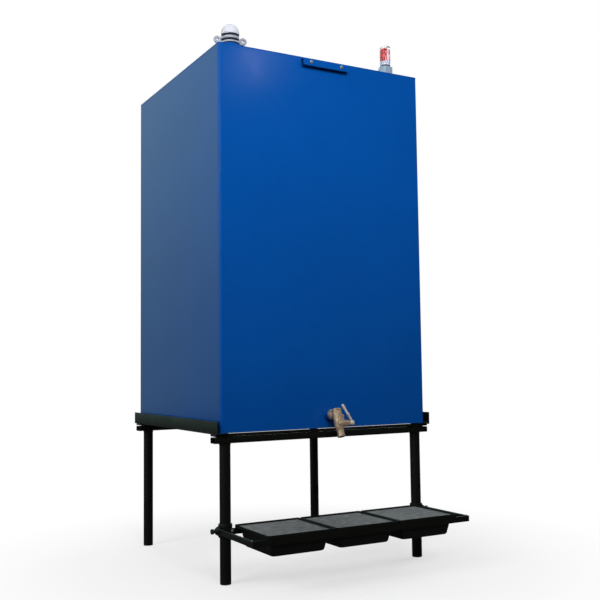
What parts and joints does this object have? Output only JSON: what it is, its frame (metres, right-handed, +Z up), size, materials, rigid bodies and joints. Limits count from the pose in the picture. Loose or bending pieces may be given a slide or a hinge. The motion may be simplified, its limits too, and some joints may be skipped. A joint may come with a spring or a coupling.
{
  "type": "gravity feed oil tank",
  "caption": "Square sheet steel oil tank on a tubular stand, with a roof vent and gauge, a lever tap at the front and a height-adjustable shelf of drip trays below it.",
  "frame": {"origin": "on the floor under the middle of the part's box, which is the tank's centre line in X", "axes": "+Z up, +X to the tank's right seen from the front, front with the tap and shelf facing -Y"},
  "size_m": [0.7944, 0.9894, 1.776],
  "materials": {
    "tank_paint": "gloss",
    "black_paint": "satin",
    "tray_paint": "satin",
    "grid_steel": "matt",
    "screw_black": "matt",
    "foot_plastic": "matt",
    "tap_brass": "satin",
    "lever_steel": "satin",
    "zinc_bolts": "zinc plated",
    "white_metal": "satin",
    "grey_metal": "zinc plated",
    "black_rubber": "matt",
    "pale_band": "matt",
    "red_plastic": "gloss",
    "clear_tube": "clear"
  },
  "bodies": {
    "tank_and_stand": {"tank_front_wall": "tank_paint", "tank_back_wall": "tank_paint", "tank_left_wall": "tank_paint", "tank_right_wall": "tank_paint", "tank_roof": "tank_paint", "tank_floor": "tank_paint", "top_bracket": "tank_paint", "bracket_bolts": "zinc_bolts", "welded_sockets": "tank_paint", "tap_inlet": "tap_brass", "tap_body": "tap_brass", "fitting_gaskets": "black_rubber", "vent_rings": "white_metal", "vent_ears": "white_metal", "vent_dome": "white_metal", "gauge_base": "grey_metal", "gauge_scale": "pale_band", "gauge_float": "red_plastic", "gauge_vial": "clear_tube", "left_side_rail": "black_paint", "right_side_rail": "black_paint", "front_flat_bar": "black_paint", "back_flat_bar": "black_paint", "front_cross_tube": "black_paint", "back_cross_tube": "black_paint", "leg_front_left": "black_paint", "leg_front_right": "black_paint", "leg_back_left": "black_paint", "leg_back_right": "black_paint", "leg_feet": "foot_plastic"},
    "shelf": {"shelf_left_arm": "black_paint", "shelf_right_arm": "black_paint", "shelf_front_bar": "black_paint", "shelf_back_bar": "black_paint", "left_collar": "black_paint", "right_collar": "black_paint"},
    "tap_handle": {"tap_lever": "lever_steel"},
    "screw_left": {"left_thumbscrew": "screw_black"},
    "screw_right": {"right_thumbscrew": "screw_black"},
    "pan_left": {"tray_left": "tray_paint"},
    "pan_middle": {"tray_middle": "tray_paint"},
    "pan_right": {"tray_right": "tray_paint"},
    "mesh_left": {"grid_left": "grid_steel"},
    "mesh_middle": {"grid_middle": "grid_steel"},
    "mesh_right": {"grid_right": "grid_steel"}
  },
  "joints": [
    {"name": "shelf_slide", "type": "slide", "parent": "tank_and_stand", "child": "shelf", "axis": [0, 0, 1], "range_m": [-0.1, 0.14]},
    {"name": "tap_turn", "type": "hinge", "parent": "tank_and_stand", "child": "tap_handle", "pos_m": [0.044, -0.34227, 0.465], "axis": [1, 0, 0], "range_deg": [0, 90]},
    {"name": "tray_left_lift", "type": "slide", "parent": "shelf", "child": "pan_left", "axis": [0, 0, 1], "range_m": [0, 0.065]},
    {"name": "tray_middle_lift", "type": "slide", "parent": "shelf", "child": "pan_middle", "axis": [0, 0, 1], "range_m": [0, 0.065]},
    {"name": "tray_right_lift", "type": "slide", "parent": "shelf", "child": "pan_right", "axis": [0, 0, 1], "range_m": [0, 0.065]},
    {"name": "grid_left_lift", "type": "slide", "parent": "pan_left", "child": "mesh_left", "axis": [0, 0, 1], "range_m": [0, 0.03]},
    {"name": "grid_middle_lift", "type": "slide", "parent": "pan_middle", "child": "mesh_middle", "axis": [0, 0, 1], "range_m": [0, 0.03]},
    {"name": "grid_right_lift", "type": "slide", "parent": "pan_right", "child": "mesh_right", "axis": [0, 0, 1], "range_m": [0, 0.03]},
    {"name": "left_screw_turn", "type": "hinge", "parent": "shelf", "child": "screw_left", "pos_m": [-0.38315, -0.24627, 0.158], "axis": [-1, 0, 0], "continuous": true},
    {"name": "right_screw_turn", "type": "hinge", "parent": "shelf", "child": "screw_right", "pos_m": [0.38315, -0.24627, 0.158], "axis": [1, 0, 0], "continuous": true}
  ]
}
